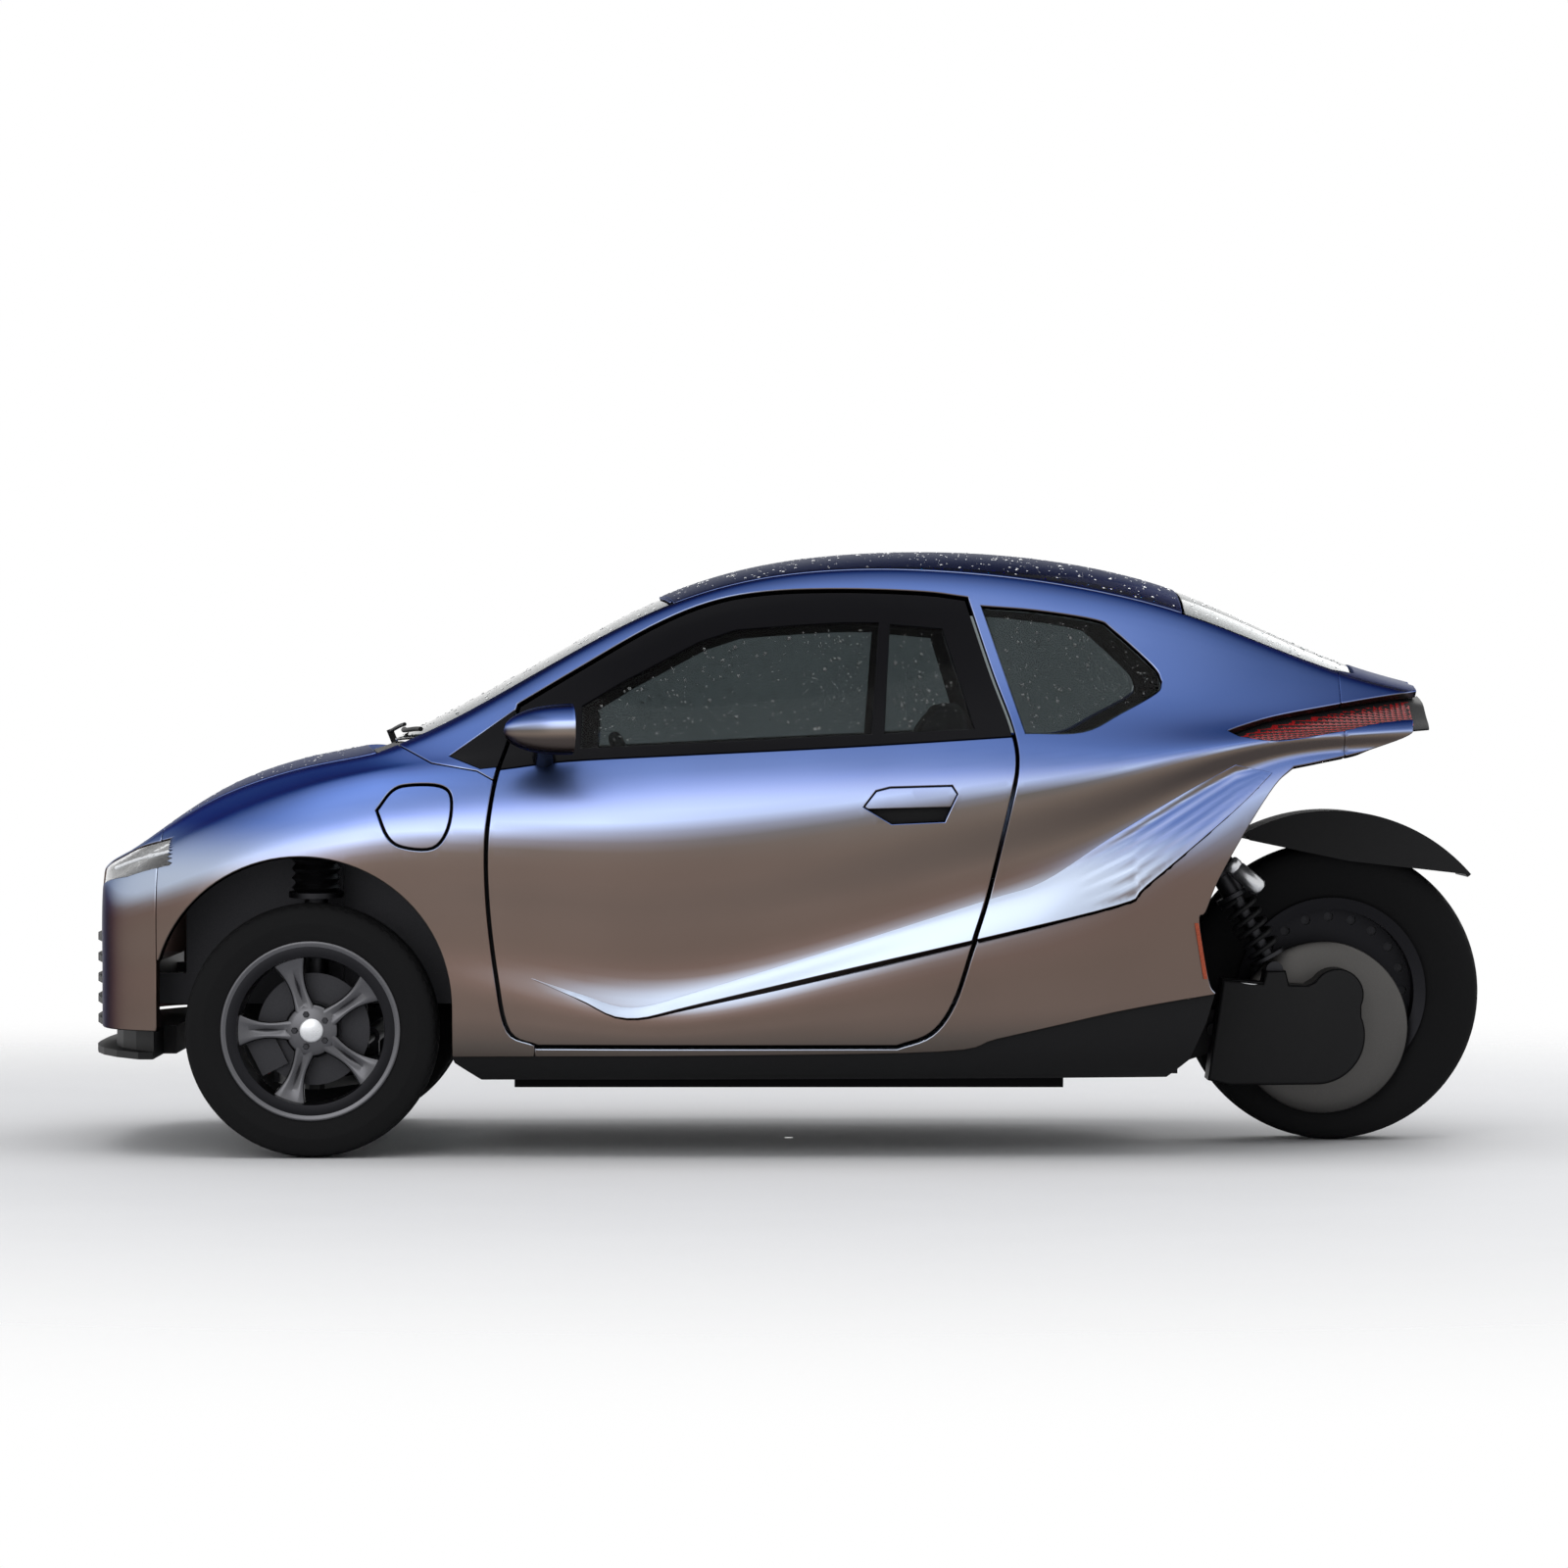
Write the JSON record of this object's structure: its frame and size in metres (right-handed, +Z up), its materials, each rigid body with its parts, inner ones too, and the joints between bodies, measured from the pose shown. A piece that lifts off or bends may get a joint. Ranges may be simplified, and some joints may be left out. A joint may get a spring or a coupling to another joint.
{
  "type": "three-wheeled electric coupe",
  "caption": "Low two-door electric coupe with steered front wheels, one exposed driven rear wheel on a swing arm, opening doors, bonnet, glass hatch and charging flap.",
  "frame": {"origin": "on the ground under the middle of the overall box", "axes": "+X to the tail, +Y to the right-hand side of the car, +Z up"},
  "size_m": [3.221, 1.822, 1.3713],
  "materials": {
    "body_paint": "satin metallic silver",
    "black_plastic": "fine grained black",
    "tinted_glass": "tinted",
    "lamp_clear": "clear lens",
    "lamp_red": "red lens",
    "reflector_orange": "prismatic",
    "dark_steel": "phosphated",
    "silver_alloy": "machined and lacquered",
    "tyre": "moulded",
    "seat_cloth": "woven",
    "battery_case": "cast",
    "black_metal": "black powder coat"
  },
  "bodies": {
    "body": {"wing_left": "body_paint", "wing_right": "body_paint", "body_side_left": "body_paint", "body_side_right": "body_paint", "roof": "body_paint", "nose_panel": "body_paint", "grille": "black_plastic", "splitter": "black_plastic", "headlamps": "lamp_clear", "scuttle": "black_plastic", "windscreen": "tinted_glass", "wiper": "black_plastic", "sail_panels": "black_plastic", "quarter_glass": "tinted_glass", "tail_deck": "body_paint", "tail_lip": "body_paint", "tail_lamps": "lamp_red", "reflectors": "reflector_orange", "side_skirts": "black_plastic", "wheel_liners": "black_plastic", "charge_inlet": "black_plastic", "floor_pan": "black_plastic", "battery": "battery_case", "bulkhead": "black_plastic", "dashboard": "black_plastic", "seat_left": "seat_cloth", "seat_right": "seat_cloth", "front_frame": "dark_steel", "control_arms": "dark_steel", "rear_frame": "black_metal", "swing_arm": "black_metal", "drive_cover": "silver_alloy", "rear_shock": "silver_alloy", "rear_mudguard": "black_plastic"},
    "steer_left": {"knuckle_left": "dark_steel"},
    "steer_right": {"knuckle_right": "dark_steel"},
    "wheel_front_left": {"rim_front_left": "silver_alloy", "tyre_front_left": "tyre"},
    "wheel_front_right": {"rim_front_right": "silver_alloy", "tyre_front_right": "tyre"},
    "wheel_rear": {"rim_rear": "silver_alloy", "tyre_rear": "tyre"},
    "steering_rack": {"steering_rack": "dark_steel"},
    "steering_wheel": {"steering_wheel": "black_plastic"},
    "door_left": {"door_left": "body_paint", "door_frame_left": "black_plastic", "door_glass_left": "tinted_glass", "handle_left": "body_paint", "mirror_left": "body_paint"},
    "door_right": {"door_right": "body_paint", "door_frame_right": "black_plastic", "door_glass_right": "tinted_glass", "handle_right": "body_paint", "mirror_right": "body_paint"},
    "hood": {"hood": "body_paint"},
    "hatch": {"hatch_frame": "black_plastic", "hatch_glass": "tinted_glass"},
    "charge_flap": {"charge_flap": "body_paint"}
  },
  "joints": [
    {"name": "steer_left", "type": "hinge", "parent": "body", "child": "steer_left", "pos_m": [-1.069, -0.548, 0.19], "axis": [0, 0.0693, 0.9976], "range_deg": [-30, 30]},
    {"name": "steer_right", "type": "hinge", "parent": "body", "child": "steer_right", "pos_m": [-1.069, 0.548, 0.19], "axis": [0, -0.0693, 0.9976], "range_deg": [-30.5, 30.5]},
    {"name": "rack_slide", "type": "slide", "parent": "body", "child": "steering_rack", "axis": [0, 1, 0], "range_m": [-0.056, 0.056]},
    {"name": "steering_wheel_turn", "type": "hinge", "parent": "body", "child": "steering_wheel", "pos_m": [-0.33, -0.3, 0.79], "axis": [0.9063, 0, 0.4226], "range_deg": [-421, 421]},
    {"name": "wheel_front_left_spin", "type": "hinge", "parent": "steer_left", "child": "wheel_front_left", "pos_m": [-1.069, -0.61, 0.285], "axis": [0, 1, 0], "continuous": true},
    {"name": "wheel_front_right_spin", "type": "hinge", "parent": "steer_right", "child": "wheel_front_right", "pos_m": [-1.069, 0.61, 0.285], "axis": [0, 1, 0], "continuous": true},
    {"name": "wheel_rear_spin", "type": "hinge", "parent": "body", "child": "wheel_rear", "pos_m": [1.264, 0, 0.3465], "axis": [0, 1, 0], "continuous": true},
    {"name": "door_left_swing", "type": "hinge", "parent": "body", "child": "door_left", "pos_m": [-0.62, -0.7, 0.66], "axis": [0, 0, -1], "range_deg": [0, 65]},
    {"name": "door_right_swing", "type": "hinge", "parent": "body", "child": "door_right", "pos_m": [-0.62, 0.7, 0.66], "axis": [0, 0, 1], "range_deg": [0, 65]},
    {"name": "hood_lift", "type": "hinge", "parent": "body", "child": "hood", "pos_m": [-0.93, 0, 0.896], "axis": [0, 1, 0], "range_deg": [0, 50]},
    {"name": "hatch_lift", "type": "hinge", "parent": "body", "child": "hatch", "pos_m": [0.897, 0, 1.283], "axis": [0, -1, 0], "range_deg": [0, 65]},
    {"name": "charge_flap_swing", "type": "hinge", "parent": "body", "child": "charge_flap", "pos_m": [-0.866, -0.7057, 0.7389], "axis": [0.5769, -0.17, -0.7989], "range_deg": [0, 100]}
  ],
  "couplings": [
    {"joint": "steer_right", "follows": "steer_left", "ratio": 1},
    {"joint": "rack_slide", "follows": "steer_left", "m_per_rad": 0.105},
    {"joint": "steering_wheel_turn", "follows": "steer_left", "ratio": 14}
  ]
}
